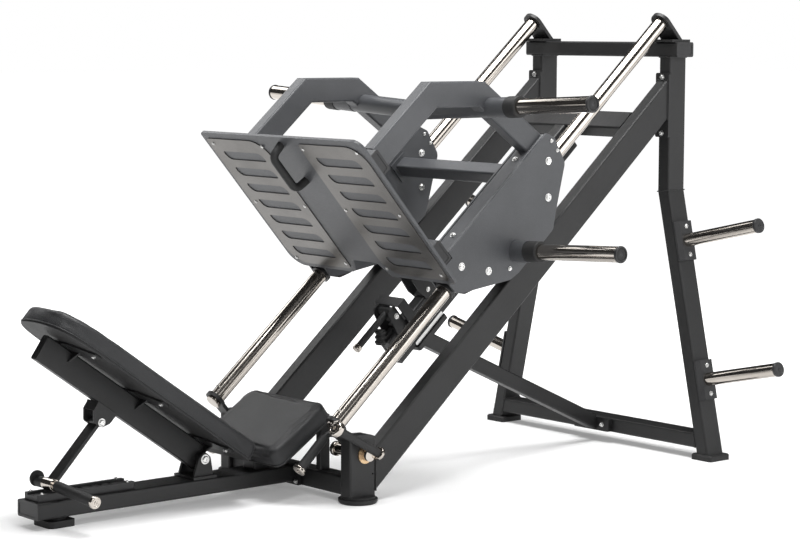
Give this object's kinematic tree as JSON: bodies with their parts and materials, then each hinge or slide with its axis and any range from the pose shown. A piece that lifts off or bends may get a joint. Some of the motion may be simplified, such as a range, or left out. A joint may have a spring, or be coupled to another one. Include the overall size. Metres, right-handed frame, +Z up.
{
  "type": "leg press machine",
  "caption": "Inclined plate-loaded leg press: sledge with foot plate on two round rails, reclining back support, seat, hand levers and plate storage pegs.",
  "frame": {"origin": "on the floor under the centre of the bounding box", "axes": "+X runs from the head end of the back support to the rear uprights, +Y is the left of a person sitting in the machine, +Z is up"},
  "size_m": [2.392, 1.6362, 1.4949],
  "materials": {
    "frame_paint": "satin powder coat, near black",
    "carriage_paint": "satin powder coat, dark grey",
    "chrome": "polished hard chrome",
    "tread_steel": "brushed stainless",
    "vinyl": "black upholstery vinyl with fine grain",
    "rubber_black": "matt black rubber",
    "plastic_black": "matt black moulded plastic",
    "zinc": "bright zinc plated",
    "bronze": "plain bronze bush"
  },
  "bodies": {
    "frame": {"base_beam": "frame_paint", "adjustment_track": "plastic_black", "tip_foot": "rubber_black", "pivot_bracket": "frame_paint", "seat_support": "frame_paint", "seat_pad": "vinyl", "front_crossbar": "frame_paint", "front_posts": "frame_paint", "front_feet": "rubber_black", "main_beams": "frame_paint", "joint_flanges": "frame_paint", "upper_cross_member": "frame_paint", "center_rail": "frame_paint", "center_rail_strip": "tread_steel", "rear_brace": "frame_paint", "rear_crossbar": "frame_paint", "rear_upright_left": "frame_paint", "rear_upright_right": "frame_paint", "rear_feet": "rubber_black", "top_crossbar": "frame_paint", "frame_tube_caps": "plastic_black", "guide_rods": "chrome", "rod_top_brackets": "frame_paint", "rod_lower_brackets": "frame_paint", "storage_brackets": "plastic_black", "storage_horns": "chrome", "storage_horn_caps": "plastic_black", "side_handles": "frame_paint", "side_grips": "rubber_black", "side_handle_caps": "chrome", "lock_bushing": "bronze", "stop_bracket": "frame_paint", "stop_bumper": "rubber_black", "frame_bolts": "zinc"},
    "carriage": {"footplate": "carriage_paint", "foot_grips": "tread_steel", "footplate_handle": "rubber_black", "carriage_crosstubes": "carriage_paint", "carriage_tube_caps": "plastic_black", "side_plates_left": "carriage_paint", "side_plates_right": "carriage_paint", "lower_rails": "carriage_paint", "upper_frame_left": "carriage_paint", "upper_frame_right": "carriage_paint", "horn_crosstube": "carriage_paint", "bearing_blocks": "plastic_black", "carriage_horns": "chrome", "horn_collars": "rubber_black", "horn_caps": "plastic_black", "carriage_bolts": "zinc"},
    "backrest": {"backrest_pad": "vinyl", "backrest_frame": "frame_paint", "backrest_bolts": "zinc"},
    "strut": {"strut": "frame_paint", "strut_hub": "chrome", "strut_handle": "rubber_black"},
    "lever": {"safety_lever": "chrome", "lever_grip": "rubber_black"},
    "stop": {"stop_lever": "rubber_black", "stop_lever_cap": "chrome"}
  },
  "joints": [
    {"name": "carriage_slide", "type": "slide", "parent": "frame", "child": "carriage", "axis": [0.7547, 0, 0.6561], "range_m": [-0.45, 0.55]},
    {"name": "backrest_tilt", "type": "hinge", "parent": "frame", "child": "backrest", "pos_m": [-0.601, 0, 0.139], "axis": [0, 1, 0], "range_deg": [-2, 8]},
    {"name": "strut_swing", "type": "hinge", "parent": "backrest", "child": "strut", "pos_m": [-0.96, 0, 0.289], "axis": [0, 1, 0], "range_deg": [-28, 7]},
    {"name": "safety_lever_turn", "type": "hinge", "parent": "frame", "child": "lever", "pos_m": [-0.215, -0.311, 0.15], "axis": [0, 1, 0], "range_deg": [-35, 0]},
    {"name": "stop_lever_turn", "type": "hinge", "parent": "frame", "child": "stop", "pos_m": [0.15465, 0, 0.52889], "axis": [0, 1, 0], "range_deg": [0, 25]}
  ],
  "couplings": [
    {"joint": "strut_swing", "follows": "backrest_tilt", "ratio": -3.45}
  ]
}
